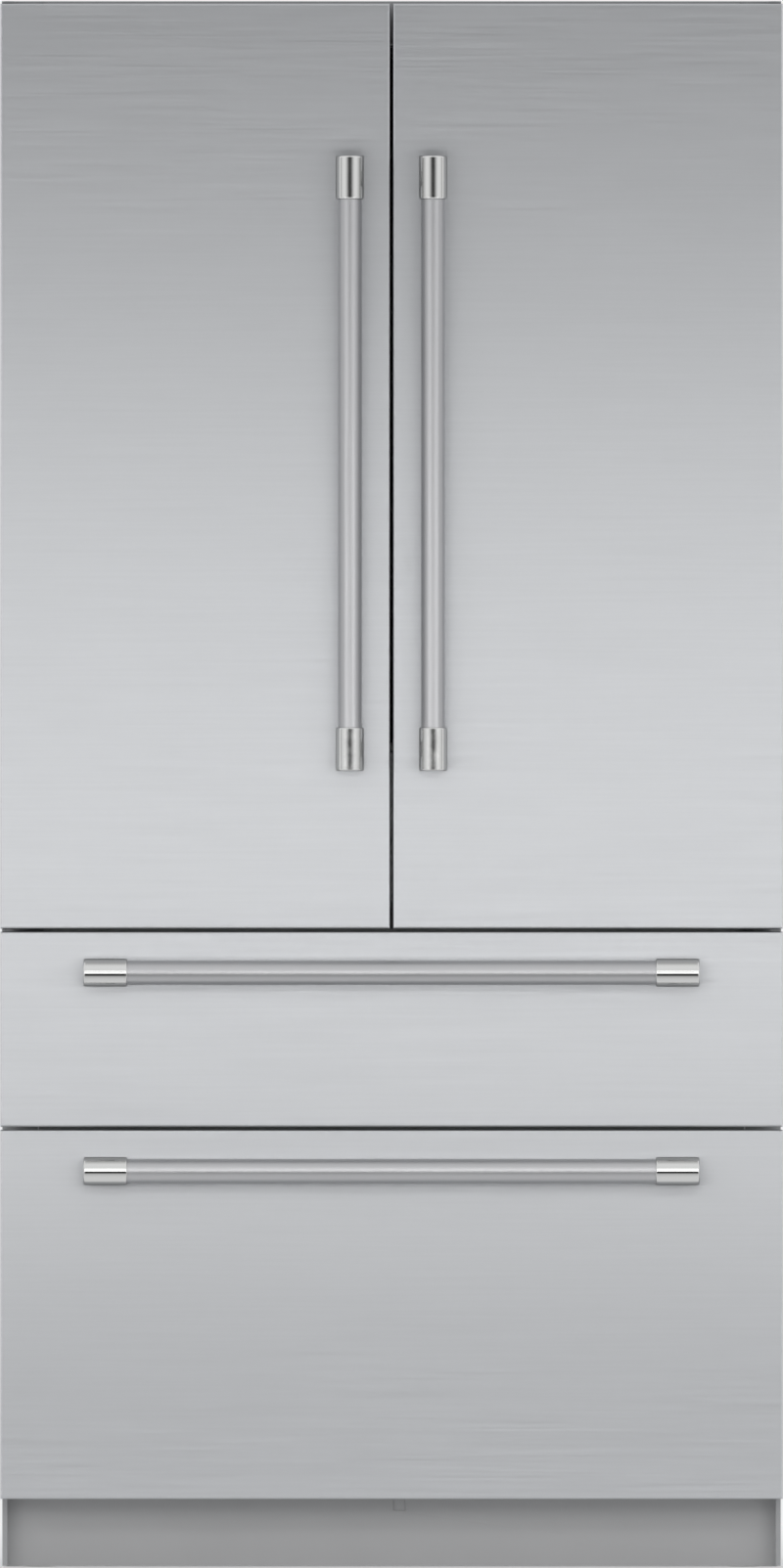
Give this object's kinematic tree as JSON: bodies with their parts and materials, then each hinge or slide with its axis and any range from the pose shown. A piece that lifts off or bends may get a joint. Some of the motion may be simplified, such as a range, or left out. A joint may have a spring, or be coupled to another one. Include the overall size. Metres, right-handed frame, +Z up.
{
  "type": "built-in fridge freezer",
  "caption": "Tall built-in fridge freezer with two stainless doors over two full-width freezer drawers, tubular bar handles, shelves, bins and a recessed plinth.",
  "frame": {"origin": "on the floor, in the middle of the appliance's width and of its whole depth with the handles", "axes": "+X to the right of someone facing the doors, -Y out of the doors towards that person, +Z up"},
  "size_m": [1.06, 0.6947, 2.1259],
  "materials": {
    "stainless": "satin, brushed from side to side",
    "handle_steel": "satin, brushed along the bar",
    "handle_polish": "polished",
    "cabinet_paint": "satin grey paint",
    "plinth_paint": "matt grey paint",
    "zinc_sheet": "bare zinc-coated sheet",
    "hinge_steel": "satin grey paint",
    "foam": "rigid foam, skinned",
    "liner_white": "soft gloss white",
    "gasket_grey": "matt, soft",
    "clear_plastic": "clear, glossy",
    "frosted_plastic": "frosted white",
    "shelf_glass": "clear tempered",
    "shelf_metal": "satin anodised",
    "runner_zinc": "bright zinc",
    "coil_aluminium": "bare",
    "condenser_black": "black enamel",
    "compressor_black": "gloss black",
    "machine_plastic": "moulded, matt",
    "console_plastic": "matt light grey",
    "mullion_plastic": "matt grey",
    "wheel_plastic": "moulded nylon",
    "foot_steel": "zinc plated"
  },
  "bodies": {
    "cabinet": {"outer_wrapper": "cabinet_paint", "back_panel": "zinc_sheet", "machine_cover": "zinc_sheet", "base_frame": "zinc_sheet", "cabinet_insulation": "foam", "fridge_liner": "liner_white", "freezer_liner": "liner_white", "cross_rails": "cabinet_paint", "toe_kick": "plinth_paint", "door_hinges": "hinge_steel", "anti_tip_plates": "zinc_sheet", "compressor": "compressor_black", "condenser": "condenser_black", "condenser_fan_shroud": "machine_plastic", "control_box": "machine_plastic", "air_covers": "liner_white", "evaporator": "coil_aluminium", "shelf_supports": "shelf_metal", "shelf_glass": "shelf_glass", "crisper_drawers": "clear_plastic", "control_console": "console_plastic", "runner_rails": "runner_zinc"},
    "flip_mullion": {"flip_mullion": "mullion_plastic"},
    "condenser_fan": {"condenser_fan": "machine_plastic"},
    "freezer_fan": {"freezer_fan": "machine_plastic"},
    "rear_rollers": {"rear_rollers": "wheel_plastic"},
    "left_foot": {"left_foot": "foot_steel"},
    "right_foot": {"right_foot": "foot_steel"},
    "upper_runner_middles": {"upper_runner_middles": "runner_zinc"},
    "lower_runner_middles": {"lower_runner_middles": "runner_zinc"},
    "left_door": {"left_door_skin": "stainless", "left_door_liner": "liner_white", "left_door_insulation": "foam", "left_door_gasket": "gasket_grey", "left_door_bins": "clear_plastic", "left_handle_bar": "handle_steel", "left_handle_ends": "handle_polish"},
    "right_door": {"right_door_skin": "stainless", "right_door_liner": "liner_white", "right_door_insulation": "foam", "right_door_gasket": "gasket_grey", "right_door_bins": "clear_plastic", "right_handle_bar": "handle_steel", "right_handle_ends": "handle_polish"},
    "upper_drawer": {"upper_drawer_skin": "stainless", "upper_drawer_liner": "liner_white", "upper_drawer_insulation": "foam", "upper_drawer_gasket": "gasket_grey", "upper_drawer_frame": "runner_zinc", "upper_drawer_bin": "frosted_plastic", "upper_handle_bar": "handle_steel", "upper_handle_ends": "handle_polish"},
    "lower_drawer": {"lower_drawer_skin": "stainless", "lower_drawer_liner": "liner_white", "lower_drawer_insulation": "foam", "lower_drawer_gasket": "gasket_grey", "lower_drawer_frame": "runner_zinc", "lower_drawer_bin": "frosted_plastic", "lower_handle_bar": "handle_steel", "lower_handle_ends": "handle_polish"}
  },
  "joints": [
    {"name": "left_door_hinge", "type": "hinge", "parent": "cabinet", "child": "left_door", "pos_m": [-0.5185, -0.2616, 1.4941], "axis": [0, 0, -1], "range_deg": [0, 110]},
    {"name": "right_door_hinge", "type": "hinge", "parent": "cabinet", "child": "right_door", "pos_m": [0.5185, -0.2616, 1.4941], "axis": [0, 0, 1], "range_deg": [0, 110]},
    {"name": "flip_mullion_hinge", "type": "hinge", "parent": "left_door", "child": "flip_mullion", "pos_m": [-0.024, -0.1886, 1.4801], "axis": [0, 0, 1], "range_deg": [-90, 0]},
    {"name": "upper_drawer_slide", "type": "slide", "parent": "cabinet", "child": "upper_drawer", "axis": [0, -1, 0], "range_m": [0, 0.42]},
    {"name": "upper_runner_slide", "type": "slide", "parent": "cabinet", "child": "upper_runner_middles", "axis": [0, -1, 0], "range_m": [0, 0.21]},
    {"name": "lower_drawer_slide", "type": "slide", "parent": "cabinet", "child": "lower_drawer", "axis": [0, -1, 0], "range_m": [0, 0.42]},
    {"name": "lower_runner_slide", "type": "slide", "parent": "cabinet", "child": "lower_runner_middles", "axis": [0, -1, 0], "range_m": [0, 0.21]},
    {"name": "condenser_fan_spin", "type": "hinge", "parent": "cabinet", "child": "condenser_fan", "pos_m": [-0.335, 0.2409, 0.146], "axis": [1, 0, 0], "continuous": true},
    {"name": "freezer_fan_spin", "type": "hinge", "parent": "cabinet", "child": "freezer_fan", "pos_m": [0, 0.2514, 0.737], "axis": [0, 1, 0], "continuous": true},
    {"name": "rear_roller_spin", "type": "hinge", "parent": "cabinet", "child": "rear_rollers", "pos_m": [0, 0.3014, 0.025], "axis": [1, 0, 0], "continuous": true},
    {"name": "left_foot_screw", "type": "slide", "parent": "cabinet", "child": "left_foot", "axis": [0, 0, 1], "range_m": [-0.03, 0]},
    {"name": "right_foot_screw", "type": "slide", "parent": "cabinet", "child": "right_foot", "axis": [0, 0, 1], "range_m": [-0.03, 0]}
  ],
  "couplings": [
    {"joint": "upper_runner_slide", "follows": "upper_drawer_slide", "ratio": 0.5},
    {"joint": "lower_runner_slide", "follows": "lower_drawer_slide", "ratio": 0.5}
  ]
}
